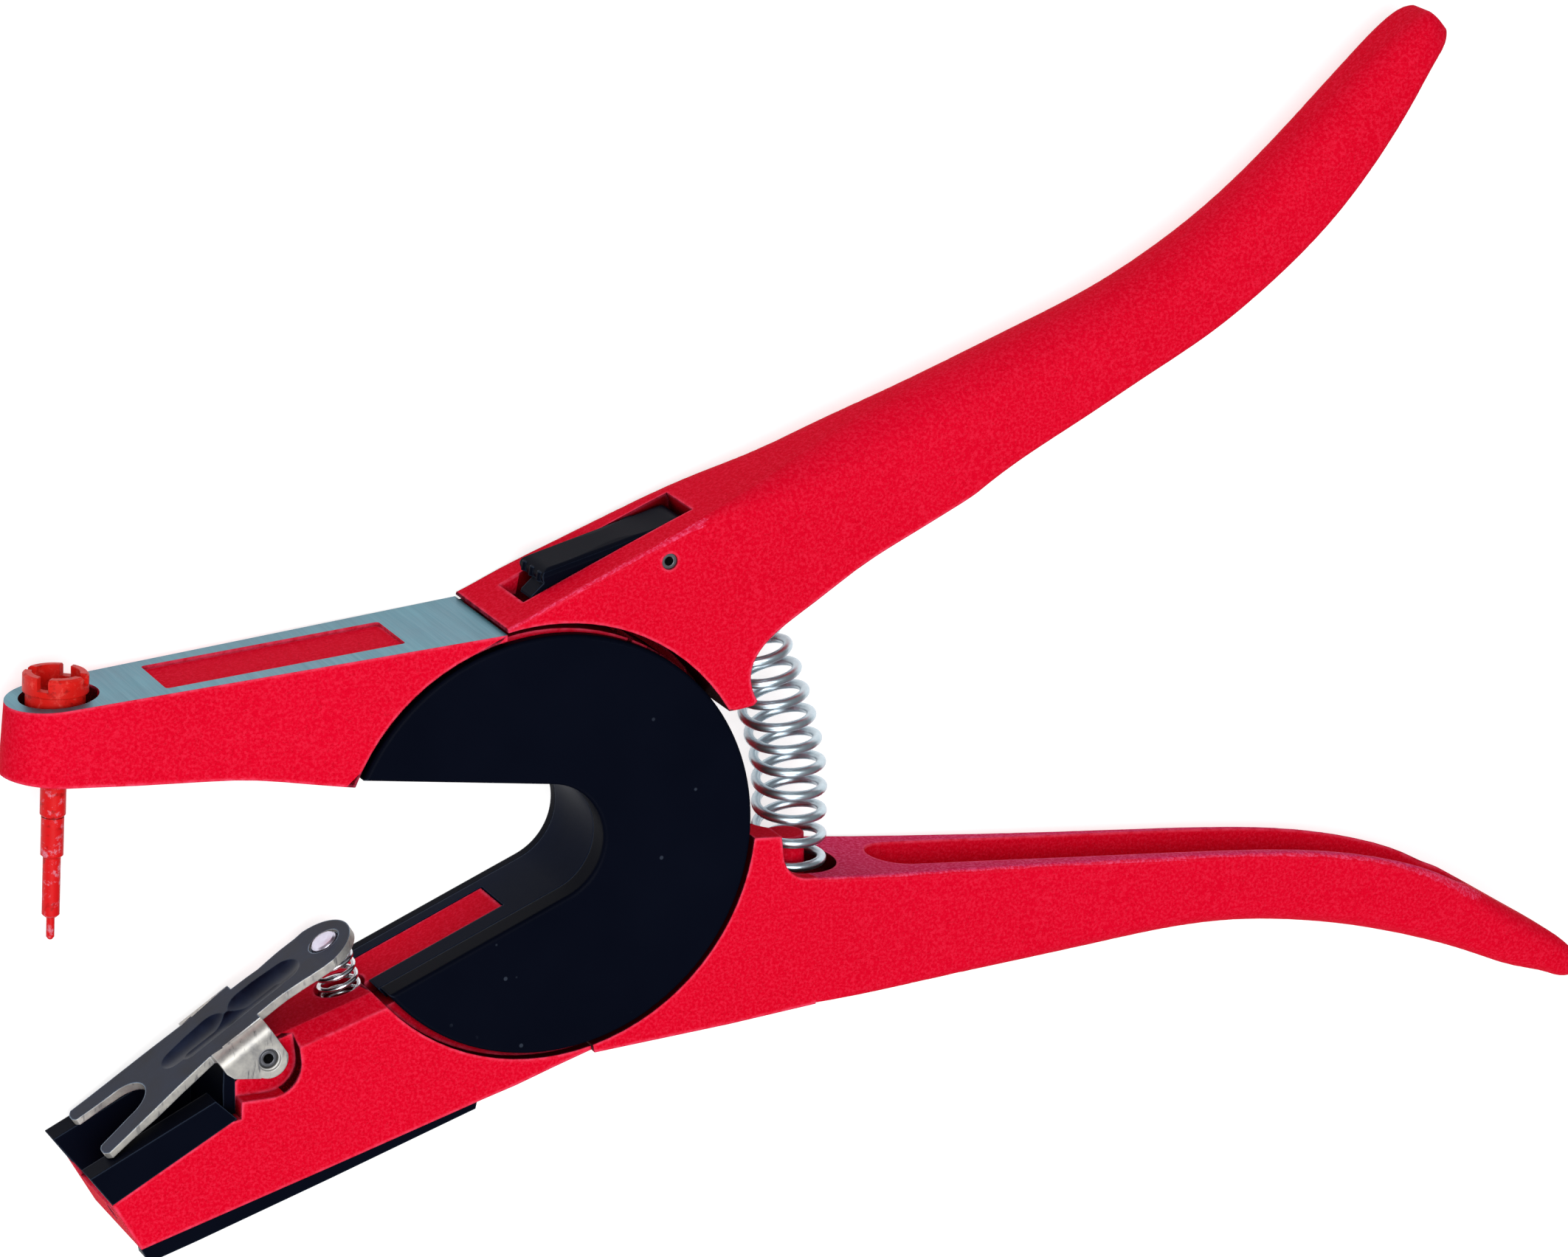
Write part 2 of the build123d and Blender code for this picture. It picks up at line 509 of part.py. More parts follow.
# Ears: bent down off the plate, then cut to their own outline.
along = Plane(origin=(*clip_uv(-24.0, 0.3), MID), x_dir=(0, 0, 1), z_dir=(cos(radians(CLIP_DEG)), sin(radians(CLIP_DEG)), 0))
d = 0.70710678
ears = None
for k in (1, -1):
    # local x is the frame's Z, local y points down off the plate; the far ear sits closer in
    bend = Plane(along.origin + Vector(0, 0, 0.0 if k > 0 else 0.6), x_dir=along.x_dir, z_dir=along.z_dir) * make_face(
        [
            Line((k * 7.0, 0), (k * 7.45, 0)),
            ThreePointArc((k * 7.45, 0), (k * (7.45 + 2.1 * d), 2.1 - 2.1 * d), (k * 9.55, 2.1)),
            Line((k * 9.55, 2.1), (k * 9.55, 12.0)),
            Line((k * 9.55, 12.0), (k * 8.25, 12.0)),
            Line((k * 8.25, 12.0), (k * 8.25, 2.1)),
            ThreePointArc((k * 8.25, 2.1), (k * (7.45 + 0.8 * d), 2.1 - 0.8 * d), (k * 7.45, 1.3)),
            Line((k * 7.45, 1.3), (k * 7.0, 1.3)),
            Line((k * 7.0, 1.3), (k * 7.0, 0)),
        ]
    )
    bent_ear = extrude(bend, 9.1)
    ears = bent_ear if ears is None else ears + bent_ear
ear_side = prism(
    [clip_uv(*p) for p in ((-24.0, 3.0), (-24.0, -2.6), (-23.5, -3.9), (-20.3, -6.6))] + [CLIP_PIVOT] + [clip_uv(-14.9, -4.2), clip_uv(-14.9, 3.0)],
    0,
    WIDTH,
)
ear_side += disc(2.95, 0, WIDTH, *CLIP_PIVOT)
clip = plate + (ears & ear_side)
# Pressed trough of two lobes along the middle of the plate, its swell underneath.
lobes = ((-7.4, -14.6, 10.75, 3.1), (-21.4, -28.4, 10.25, 3.1), (-25.8, -10.0, 11.9, 2.1))
swell, hollow = None, None
for u0, u1, zc, w in lobes:
    depth = 0.78
    r = (w * w + depth * depth) / (2 * depth)
    a, b = clip_uv(u0, 0.42 + r - depth), clip_uv(u1, 0.42 + r - depth)
    for grow, kind in ((1.1, "swell"), (0.0, "hollow")):
        s = rod((*a, zc), (*b, zc), r + grow) + Pos(*a, zc) * Sphere(r + grow) + Pos(*b, zc) * Sphere(r + grow)
        if kind == "swell":
            swell = s if swell is None else swell + s
        else:
            hollow = s if hollow is None else hollow + s
under = prism([clip_uv(-40, -0.95), clip_uv(6, -0.85), clip_uv(6, -6), clip_uv(-40, -6)], 0, WIDTH)
clip += swell & under
clip -= hollow
clip -= rod((*CLIP_PIVOT, -1), (*CLIP_PIVOT, WIDTH + 1), 1.56)
for z0, z1 in ((0.9, 1.4), (WIDTH - 1.4, WIDTH - 0.9)):
    clip -= disc(1.8, z0, z1, *CLIP_PIVOT)
clip -= rod((*clip_uv(0, -3), MID), (*clip_uv(0, 3), MID), 1.3)
clip -= rod((*clip_uv(0, -0.55), MID), (*clip_uv(0, 3), MID), 2.55)
parts["clip_lever"] = clip

rivet = rod((*clip_uv(0, -0.55), MID), (*clip_uv(0, 0.0), MID), 2.1)
rivet += rod((*clip_uv(0, -0.01), MID), (*clip_uv(0, 0.3), MID), 2.1, 1.8) + rod((*clip_uv(0, 0.29), MID), (*clip_uv(0, 0.5), MID), 1.8, 1.1)
rivet += rod((*clip_uv(0, -2.4), MID), (*clip_uv(0, -0.5), MID), 1.3)
parts["clip_rivet"] = rivet

parts["clip_pivot_pin"] = ring(0.8, 1.5, 1.75, WIDTH - 1.75, *CLIP_PIVOT) + ring(0.8, 1.27, 1.45, WIDTH - 1.45, *CLIP_PIVOT)

clip_spring = rod((SP0[0], SP0[1], MID), (SP0[0] + SPD[0] * 12, SP0[1] + SPD[1] * 12, MID), 3.4)
clip_spring -= rod((SP0[0] - SPD[0], SP0[1] - SPD[1], MID), (SP0[0] + SPD[0] * 13, SP0[1] + SPD[1] * 13, MID), 2.7)
clip_spring &= prism([clip_uv(-40, -1.5), clip_uv(20, -1.5), clip_uv(20, -40), clip_uv(-40, -40)], 0, WIDTH)
parts["clip_spring"] = clip_spring

# ------------------------------------------------------------- tag seat rails and base pad
def rail_solid(z_out0, z_out1, z_in0, z_in1):
    body = prism([P1, P2, P3, P4], z_out0, z_out1)
    skirt = prism(
        [P1, (P2[0] + 1.75, P2[1] - 2.05), (P3[0] - 0.1, P3[1] - 2.95), (P3[0] - 0.4, P3[1]), P4],
        z_in0,
        z_in1,
    )
    return body + (skirt - prism(back_plan, 0, WIDTH))


parts["tag_rail_near"] = rail_solid(WIDTH - 2.75, WIDTH, WIDTH - 4.0, WIDTH - 2.75)
parts["tag_rail_far"] = rail_solid(0.0, 2.75, 2.75, 4.0)
pad = prism(
    [
        (-64.4, -55.3), (-34.8, -46.7), (-10.9, -39.62), (-11.2, -40.95), (-34.8, -48.8), (-55.6, -55.5),
        (-62.2, -57.5), (-63.4, -57.2),
    ],
    0.5,
    WIDTH - 0.5,
)
# The pad's front end is cut back towards the far side.
plan = Plane(origin=(0, -60, 0), x_dir=(1, 0, 0), z_dir=(0, 1, 0))
pad -= extrude(plan * make_face(Polyline((-64.4, -WIDTH - 1), (-64.4, -20.5), (-59.0, -0.5), (-58.9, 1.0), (-80.0, 1.0), (-80.0, -WIDTH - 1), close=True)), 30)
parts["jaw_base_pad"] = pad

# ------------------------------------------------------------- latch
lx, ly = LATCH_PIVOT
lever = face_prism(
    [
        Spline([(1.45, 39.0), (1.6, 39.9), (2.3, 40.5), (3.4, 40.85), (9.0, 42.3), (16.0, 44.1), (21.5, 45.45), (24.2, 45.95), (25.15, 45.3)]),
        Line((25.15, 45.3), (24.8, 43.4)),
        Line((24.8, 43.4), (22.4, 40.4)),
        Line((22.4, 40.4), (16.6, 39.3)),
        Line((16.6, 39.3), (6.0, 38.2)),
        Line((6.0, 38.2), (4.5, 37.7)),
        Line((4.5, 37.7), (1.7, 38.3)),
        Line((1.7, 38.3), (1.45, 39.0)),
    ],
    5.95,
    15.05,
)
# Broad crown across the lever's width, with rounded long edges.
crest = Plane(origin=(-3.0, 39.32, MID), x_dir=(0, 0, 1), z_dir=(0.9687, 0.2484, 0))
crown = make_face(Polyline((-4.55, 20), (-4.55, 1.05), (-4.25, 0.45), (-3.6, 0.12), (-2.0, 0.0), (2.0, 0.0), (3.6, 0.12), (4.25, 0.45), (4.55, 1.05), (4.55, 20), close=True))
lever &= extrude(crest * crown, 40)
lever += disc(3.0, 5.95, 15.05, lx, ly)
hook = prism([(1.7, 38.7), (-0.3, 36.9), (-0.45, 36.4), (0.9, 36.35), (3.4, 37.5), (4.6, 38.5)], 10.9, 15.05)
lever += hook
# Three small knuckles on the lever's front end.
for z in (7.6, 10.5, 13.4):
    lever += rod((1.75, 38.5, z), (2.0, 39.9, z), 0.75)
lever -= disc(2.55, 8.8, 12.2, lx, ly) - disc(0.1, 0, 1, lx, ly)
lever -= prism([(lx - 8.5, 38.6), (lx + 1.4, 36.8), (lx + 1.4, 41.2), (lx - 8.5, 40.3)], 8.8, 12.2)
lever -= rod((lx, ly, -1), (lx, ly, WIDTH + 1), 1.3)
parts["latch_lever"] = lever
parts["latch_pivot_pin"] = ring(0.7, 1.25, 0.4, WIDTH - 0.4, lx, ly)
coil = ring(1.5, 2.35, 9.2, 11.8, lx, ly)
coil += rod((lx - 1.6, ly - 1.35, 9.6), (lx - 8.0, ly - 2.15, 9.6), 0.35)
coil += rod((lx + 1.5, ly - 1.3, 11.4), (lx - 1.0, 38.0, 11.4), 0.35)
parts["latch_spring"] = coil

# ------------------------------------------------------------- write out
os.makedirs("parts", exist_ok=True)
shift = Pos(-SHIFT_X, -SHIFT_Y, 0)
lo, hi = [1e9] * 3, [-1e9] * 3
for name, shape in parts.items():
    items = shape if isinstance(shape, list) else [shape]
    solids = []
    for item in items:
        solids += list(item.solids())
    moved = [shift * s for s in solids]
    whole = moved[0] if len(moved) == 1 else Compound(children=moved)
    box = whole.bounding_box()
    for i, (a, b) in enumerate(zip(tuple(box.min), tuple(box.max))):
        lo[i], hi[i] = min(lo[i], a), max(hi[i], b)
    export_step(whole, f"parts/{name}.step")
    print(f"{name:24s} solids {len(moved)}  volume {sum(s.volume for s in moved):9.1f}")
print("box", [round(v, 2) for v in lo], [round(v, 2) for v in hi])
print("footprint centre", round((lo[0] + hi[0]) / 2, 2), round((lo[1] + hi[1]) / 2, 2))
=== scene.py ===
import math

import bmesh
import bpy
import numpy as np
from mathutils import Matrix, Vector


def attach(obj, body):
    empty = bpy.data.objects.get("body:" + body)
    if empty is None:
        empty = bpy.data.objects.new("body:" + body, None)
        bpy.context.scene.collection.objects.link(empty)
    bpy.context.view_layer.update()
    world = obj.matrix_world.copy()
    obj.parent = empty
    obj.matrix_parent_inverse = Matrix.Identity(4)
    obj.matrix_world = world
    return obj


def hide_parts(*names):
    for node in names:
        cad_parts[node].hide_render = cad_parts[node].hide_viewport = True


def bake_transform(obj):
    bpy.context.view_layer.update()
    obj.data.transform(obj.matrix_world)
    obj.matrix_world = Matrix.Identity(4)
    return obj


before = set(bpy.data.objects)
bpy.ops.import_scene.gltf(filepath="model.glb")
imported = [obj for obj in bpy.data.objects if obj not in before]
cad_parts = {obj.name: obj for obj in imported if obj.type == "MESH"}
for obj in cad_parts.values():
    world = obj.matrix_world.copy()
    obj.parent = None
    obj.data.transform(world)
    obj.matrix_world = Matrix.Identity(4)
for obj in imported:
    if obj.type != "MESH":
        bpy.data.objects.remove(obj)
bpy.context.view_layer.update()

# The drawing frame of the tool has its virtual pivot at 0, 0. These shifts, in mm,
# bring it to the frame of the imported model.
OX, OY, MID = 52.0, 29.0, 10.5


def pt(x, y, z):
    return Vector(((x - OX) / 1000, (y - OY) / 1000, z / 1000))


# ------------------------------------------------------------------ node helpers
class Nodes:
    def __init__(self, name):
        self.mat = bpy.data.materials.new(name)
        self.mat.use_nodes = True
        self.tree = self.mat.node_tree
        self.tree.nodes.clear()
        self.out = self.add("ShaderNodeOutputMaterial")
        self.bsdf = self.add("ShaderNodeBsdfPrincipled")
        self.link(self.bsdf.outputs[0], self.out.inputs[0])
        self.coord = self.add("ShaderNodeTexCoord").outputs["Object"]

    def add(self, kind, **values):
        node = self.tree.nodes.new(kind)
        for k, v in values.items():
            setattr(node, k, v)
        return node

    def link(self, a, b):
        self.tree.links.new(a, b)

    def put(self, socket, value):
        if isinstance(value, bpy.types.NodeSocket):
            self.link(value, socket)
        else:
            socket.default_value = value

    def noise(self, scale, detail=3.0, rough=0.5, distort=0.0, vector=None):
        n = self.add("ShaderNodeTexNoise")
        n.inputs["Scale"].default_value = scale
        n.inputs["Detail"].default_value = detail
        n.inputs["Roughness"].default_value = rough
        n.inputs["Distortion"].default_value = distort
        self.link(vector or self.coord, n.inputs["Vector"])
        return n.outputs["Fac"]

    def cells(self, scale, feature="F1", vector=None):
        n = self.add("ShaderNodeTexVoronoi", feature=feature)
        n.inputs["Scale"].default_value = scale
        self.link(vector or self.coord, n.inputs["Vector"])
        return n.outputs["Distance"]

    def stretch(self, scale, turn=(0, 0, 0)):
        n = self.add("ShaderNodeMapping")
        n.inputs["Scale"].default_value = scale
        n.inputs["Rotation"].default_value = turn
        self.link(self.coord, n.inputs["Vector"])
        return n.outputs[0]

    def ramp(self, fac, *stops):
        n = self.add("ShaderNodeValToRGB")
        while len(n.color_ramp.elements) < len(stops):
            n.color_ramp.elements.new(0.5)
        for e, (p, c) in zip(n.color_ramp.elements, stops):
            e.position = p
            e.color = (c, c, c, 1) if isinstance(c, (int, float)) else (*c, 1)
        self.link(fac, n.inputs[0])
        return n.outputs[0]

    def mix(self, fac, a, b, kind="MIX"):
        n = self.add("ShaderNodeMix", data_type="RGBA", blend_type=kind)
        self.put(n.inputs[0], fac)
        for s, v in ((n.inputs[6], a), (n.inputs[7], b)):
            self.put(s, v if isinstance(v, bpy.types.NodeSocket) else (*v, 1))
        return n.outputs[2]

    def math(self, op, a, b=0.0, c=None, clamp=False):
        n = self.add("ShaderNodeMath", operation=op, use_clamp=clamp)
        self.put(n.inputs[0], a)
        self.put(n.inputs[1], b)
        if c is not None:
            self.put(n.inputs[2], c)
        return n.outputs[0]

    def bevel(self, radius_mm):
        n = self.add("ShaderNodeBevel", samples=6)
        n.inputs["Radius"].default_value = radius_mm / 1000
        return n.outputs[0]

    def edge(self, radius_mm, low=0.02, high=0.25):
        """0 on flat surfaces, 1 along the edges."""
        n = self.add("ShaderNodeVectorMath", operation="DOT_PRODUCT")
        self.link(self.bevel(radius_mm), n.inputs[0])
        self.link(self.add("ShaderNodeNewGeometry").outputs["Normal"], n.inputs[1])
        off = self.math("SUBTRACT", 1.0, n.outputs["Value"])
        r = self.add("ShaderNodeMapRange")
        r.inputs["From Min"].default_value = low
        r.inputs["From Max"].default_value = high
        self.link(off, r.inputs["Value"])
        return r.outputs[0]

    def painted_shade(self, mm, start=0.75, end=0.25):
        """0 on open surfaces, 1 deep in gaps and recesses: the mask for painted shade."""
        n = self.add("ShaderNodeAmbientOcclusion", samples=6)
        n.inputs["Distance"].default_value = mm / 1000
        r = self.add("ShaderNodeMapRange")
        r.inputs["From Min"].default_value = start
        r.inputs["From Max"].default_value = end
        self.link(n.outputs["AO"], r.inputs["Value"])
        return r.outputs[0]

    def bump(self, height, strength, mm, normal=None):
        n = self.add("ShaderNodeBump")
        n.inputs["Strength"].default_value = strength
        n.inputs["Distance"].default_value = mm / 1000
        self.link(height, n.inputs["Height"])
        if normal is not None:
            self.link(normal, n.inputs["Normal"])
        return n.outputs[0]

    def surface(self, **values):
        for k, v in values.items():
            key = {"base": "Base Color", "rough": "Roughness", "metal": "Metallic", "normal": "Normal"}.get(k, k)
            s = self.bsdf.inputs[key]
            if isinstance(v, tuple):
                v = (*v, 1)
            self.put(s, v)
        return self.mat


# ------------------------------------------------------------------ materials
def red_coat(name, low, high, speckle_colour, speckle_amount=0.45, reach=2.6, start=0.62, end=0.22):
    n = Nodes(name)
    broad = n.noise(30, 3, 0.55)
    grain = n.noise(2100, 2, 0.6)
    fleck = n.noise(4300, 1, 0.5)
    colour = n.mix(broad, low, high)
    # speckle of paler grains; in the magenta coat this speckle is part of the painted reflection
    colour = n.mix(n.ramp(grain, (0.44, 0.0), (0.66, speckle_amount)), colour, speckle_colour)
    colour = n.mix(n.ramp(fleck, (0.30, 0.45), (0.43, 0.0)), colour, (0.36, 0.0004, 0.004))
    # painted highlight: pink streaks along the edges, broken up by noise
    edge_highlight = n.edge(0.95, 0.010, 0.085)
    edge_highlight = n.math("MULTIPLY", edge_highlight, n.ramp(n.noise(620, 3, 0.6), (0.36, 0.15), (0.62, 0.80)))
    colour = n.mix(edge_highlight, colour, (0.80, 0.075, 0.15))
    # painted shade: near-black red deep in gaps and recesses
    colour = n.mix(n.painted_shade(reach, start, end), colour, (0.030, 0.0002, 0.0010))
    rough = n.math("MULTIPLY_ADD", grain, 0.18, 0.42)
    n.bsdf.inputs["Specular IOR Level"].default_value = 0.004
    peel = n.math("ADD", n.math("MULTIPLY", grain, 0.7), n.math("MULTIPLY", n.noise(1500, 2, 0.5), 0.35))
    return n.surface(base=colour, rough=rough, normal=n.bump(peel, 0.24, 0.06, n.bevel(0.45)))


def ground_metal():
    n = Nodes("ground_aluminium")
    lines = n.noise(900, 3, 0.6, 0.0, n.stretch((1.0, 1.0, 0.035)))
    fine = n.noise(3600, 2, 0.6, 0.0, n.stretch((1.0, 1.0, 0.02)))
    cloud = n.noise(70, 3, 0.6)
    colour = n.mix(lines, (0.046, 0.155, 0.205), (0.112, 0.310, 0.385))
    colour = n.mix(n.ramp(cloud, (0.35, 0.4), (0.65, 0.0)), colour, (0.095, 0.175, 0.235))
    height = n.math("ADD", n.math("MULTIPLY", lines, 0.6), n.math("MULTIPLY", fine, 0.6))
    rough = n.math("MULTIPLY_ADD", fine, 0.25, 0.28)
    return n.surface(base=colour, metal=0.9, rough=rough, normal=n.bump(height, 0.45, 0.03))


def black_plastic(name, low, high, edge_highlight_colour, spec, rough0):
    n = Nodes(name)
    broad = n.noise(45, 3, 0.6)
    grain = n.noise(2600, 2, 0.5)
    colour = n.mix(broad, low, high)
    n.bsdf.inputs["Specular IOR Level"].default_value = spec
    # small pale scuffs and specks
    speck = n.ramp(n.cells(210), (0.055, 1.0), (0.075, 0.0))
    speck = n.math("MULTIPLY", speck, n.ramp(n.noise(60, 2, 0.5), (0.50, 0.0), (0.56, 0.7)))
    colour = n.mix(speck, colour, (0.030, 0.038, 0.055))
    # painted highlight: pale blue along the edges
    edge_highlight = n.edge(0.4, 0.03, 0.4)
    colour = n.mix(n.math("MULTIPLY", edge_highlight, 0.6), colour, edge_highlight_colour)
    # painted shade: near black deep in gaps
    colour = n.mix(n.painted_shade(2.0, 0.6, 0.2), colour, (0.0005, 0.0006, 0.001))
    rough = n.math("MULTIPLY_ADD", broad, 0.16, rough0)
    normal = n.bump(grain, 0.16, 0.03, n.bump(broad, 0.12, 0.6, n.bevel(0.45)))
    return n.surface(base=colour, rough=rough, normal=normal)


def steel(name, low, high, rough0, turned=False, shade=0.0):
    n = Nodes(name)
    scale = (1.0, 14.0, 1.0) if turned else (1.0, 1.0, 1.0)
    marks = n.noise(1300, 3, 0.6, 0.0, n.stretch(scale))
    cloud = n.noise(160, 3, 0.6)
    colour = n.mix(marks, low, high)
    colour = n.mix(n.math("MULTIPLY", n.edge(0.25, 0.03, 0.3), 0.5), colour, tuple(min(1.0, c * 1.25) for c in high))
    # painted shade: darker where the wire is hidden, such as a coil's far strands
    if shade:
        colour = n.mix(n.math("MULTIPLY", n.painted_shade(shade, 0.72, 0.30), 0.8), colour, tuple(c * 0.22 for c in low))
    rough = n.math("MULTIPLY_ADD", cloud, 0.18, rough0)
    return n.surface(base=colour, metal=1.0, rough=rough, normal=n.bump(marks, 0.10, 0.02, n.bevel(0.2)))


def clip_steel():
    """Dark plated faces of the clip's sheet."""
    n = Nodes("dark_sheet_steel")
    cloud = n.noise(190, 4, 0.6, 0.4)
    fine = n.noise(1900, 3, 0.6)
    colour = n.mix(n.ramp(cloud, (0.30, 0.0), (0.72, 1.0)), (0.0012, 0.0018, 0.0085), (0.0085, 0.0135, 0.0330))
    # painted highlight: pale blue along the sheet's edges, broken up by noise
    edge_highlight = n.edge(0.45, 0.02, 0.30)
    edge_highlight = n.math("MULTIPLY", edge_highlight, n.ramp(n.noise(420, 3, 0.6), (0.25, 0.35), (0.60, 1.0)))
    colour = n.mix(edge_highlight, colour, (0.26, 0.36, 0.48))
    rough = n.math("MULTIPLY_ADD", cloud, 0.22, 0.26)
    return n.surface(base=colour, metal=1.0, rough=rough, normal=n.bump(fine, 0.14, 0.03, n.bevel(0.3)))


def sheared_steel():
    """Pale zinc on the clip's sheared edges and its ears."""
    n = Nodes("sheared_zinc_edge")
    cloud = n.noise(230, 4, 0.65, 0.3)
    ticks = n.noise(1500, 2, 0.6, 0.0, n.stretch((1.0, 0.22, 0.5), (0, 0, 0.58)))
    colour = n.mix(n.ramp(cloud, (0.32, 0.0), (0.68, 1.0)), (0.24, 0.235, 0.235), (0.52, 0.50, 0.45))
    colour = n.mix(n.ramp(ticks, (0.30, 0.7), (0.42, 0.0)), colour, (0.07, 0.07, 0.085))
    colour = n.mix(n.math("MULTIPLY", n.edge(0.3, 0.03, 0.3), 0.6), colour, (0.66, 0.70, 0.76))
    rough = n.math("MULTIPLY_ADD", cloud, 0.20, 0.34)
    return n.surface(base=colour, metal=0.55, rough=rough, normal=n.bump(ticks, 0.2, 0.04, n.bevel(0.25)))


def orange_coat(name, low, high, worn, amount):
    n = Nodes(name)
    scuff = n.noise(650, 4, 0.7, 0.3)
    broad = n.noise(140, 3, 0.6)
    colour = n.mix(broad, low, high)
    colour = n.mix(n.ramp(scuff, (0.54, 0.0), (0.68, amount)), colour, worn)
    colour = n.mix(n.ramp(n.noise(900, 2, 0.5), (0.28, 0.7), (0.40, 0.0)), colour, (0.26, 0.003, 0.003))
    # painted shade: dark red deep in gaps and slots
    colour = n.mix(n.painted_shade(1.6, 0.55, 0.15), colour, (0.05, 0.0005, 0.0005))
    rough = n.math("MULTIPLY_ADD", scuff, 0.25, 0.30)
    n.bsdf.inputs["Specular IOR Level"].default_value = 0.12
    return n.surface(base=colour, rough=rough, normal=n.bump(scuff, 0.35, 0.08, n.bevel(0.25)))


def plain_plastic(name, a, b, rough0):
    n = Nodes(name)
    broad = n.noise(120, 3, 0.6)
    return n.surface(base=n.mix(broad, a, b), rough=n.math("MULTIPLY_ADD", broad, 0.15, rough0), normal=n.bump(n.noise(1800, 2, 0.5), 0.12, 0.03, n.bevel(0.25)))


RED = red_coat("red_powder_coat", (0.55, 0.0010, 0.012), (0.63, 0.0018, 0.020), (0.74, 0.022, 0.06))
# painted shade: darker red coat, going near black deep in slots and pockets
RED_PAINTED_SHADE = red_coat("red_coat_painted_recess_shade", (0.42, 0.0006, 0.006), (0.50, 0.0010, 0.009), (0.55, 0.010, 0.03), 0.3, 7.0, 0.80, 0.42)
# painted shade: near-black red coat for gaps, the nose counterbore and small holes
RED_PAINTED_GAP_SHADE = red_coat("red_coat_painted_gap_shade", (0.030, 0.0004, 0.0012), (0.045, 0.0006, 0.0020), (0.06, 0.002, 0.005), 0.2, 2.0, 0.80, 0.40)
# painted highlight: pinker red coat for the lit fillet along a handle's near edge
RED_PAINTED_HIGHLIGHT = red_coat("red_coat_painted_edge_highlight", (0.58, 0.006, 0.030), (0.66, 0.014, 0.050), (0.78, 0.10, 0.22), 0.6)
# painted reflection: magenta-tinted red coat for the lower handle's top face
RED_PAINTED_REFLECTION = red_coat("red_coat_painted_reflection", (0.46, 0.010, 0.060), (0.56, 0.018, 0.085), (0.70, 0.10, 0.24), 0.55)
GROUND = ground_metal()
BLACK = black_plastic("black_moulded_plastic", (0.0012, 0.0018, 0.0050), (0.0024, 0.0034, 0.0085), (0.07, 0.10, 0.16), 0.012, 0.30)
LINER = black_plastic("liner_plastic", (0.0010, 0.0020, 0.0075), (0.0030, 0.0062, 0.0210), (0.05, 0.08, 0.14), 0.012, 0.26)
LINER.node_tree.nodes["Principled BSDF"].inputs["Specular Tint"].default_value = (0.35, 0.62, 1.0, 1)
CLIP = clip_steel()
SHEARED = sheared_steel()
ORANGE = orange_coat("orange_red_coat", (0.52, 0.006, 0.005), (0.64, 0.012, 0.007), (0.74, 0.10, 0.08), 0.5)
PIN = orange_coat("worn_pin_coat", (0.50, 0.004, 0.006), (0.60, 0.008, 0.010), (0.55, 0.32, 0.42), 0.55)
WIRE = steel("zinc_wire", (0.40, 0.50, 0.56), (0.62, 0.73, 0.78), 0.24, shade=3.0)
CHROME = steel("bright_wire", (0.52, 0.55, 0.60), (0.86, 0.88, 0.90), 0.12)
BRIGHT = steel("bright_steel", (0.55, 0.56, 0.57), (0.74, 0.75, 0.76), 0.22)
RIVET = steel("rivet_steel", (0.50, 0.48, 0.60), (0.70, 0.68, 0.80), 0.26)
DARK = steel("dark_steel", (0.10, 0.105, 0.12), (0.20, 0.205, 0.22), 0.32)
BRASS = steel("brass_insert", (0.55, 0.40, 0.16), (0.72, 0.55, 0.25), 0.28)
WHITE = plain_plastic("natural_bush", (0.62, 0.60, 0.55), (0.72, 0.70, 0.66), 0.35)

LOOK = {
    "pin_lever_casting": RED, "anvil_lever_casting": RED,
    "near_cover": BLACK, "far_cover": BLACK, "throat_liner": LINER, "tag_seat_back": BLACK,
    "tag_rail_near": BLACK, "tag_rail_far": BLACK, "jaw_base_pad": BLACK, "latch_lever": BLACK,
    "guide_pins": BRIGHT, "guide_bushes": WHITE, "guide_retaining_clips": DARK, "cover_screws": DARK,
    "tag_pin": PIN, "pin_retainer": ORANGE, "pin_bush": BRASS,
    "clip_pivot_pin": DARK, "latch_pivot_pin": DARK, "clip_lever": CLIP, "clip_rivet": RIVET,
    "main_spring": WIRE, "clip_spring": CHROME, "latch_spring": CHROME,
}
for name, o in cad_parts.items():
    o.data.materials.clear()
    o.data.materials.append(LOOK[name])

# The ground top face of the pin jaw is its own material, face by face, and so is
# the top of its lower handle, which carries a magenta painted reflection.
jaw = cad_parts["pin_lever_casting"]
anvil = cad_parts["anvil_lever_casting"]
for o in (jaw, anvil):
    for m in (GROUND, RED_PAINTED_REFLECTION, RED_PAINTED_SHADE, RED_PAINTED_GAP_SHADE, RED_PAINTED_HIGHLIGHT):
        o.data.materials.append(m)


def seat(poly):
    """Middle of a face in the drawing frame, in mm."""
    c = poly.center
    return c.x * 1000 + OX, c.y * 1000 + OY, c.z * 1000


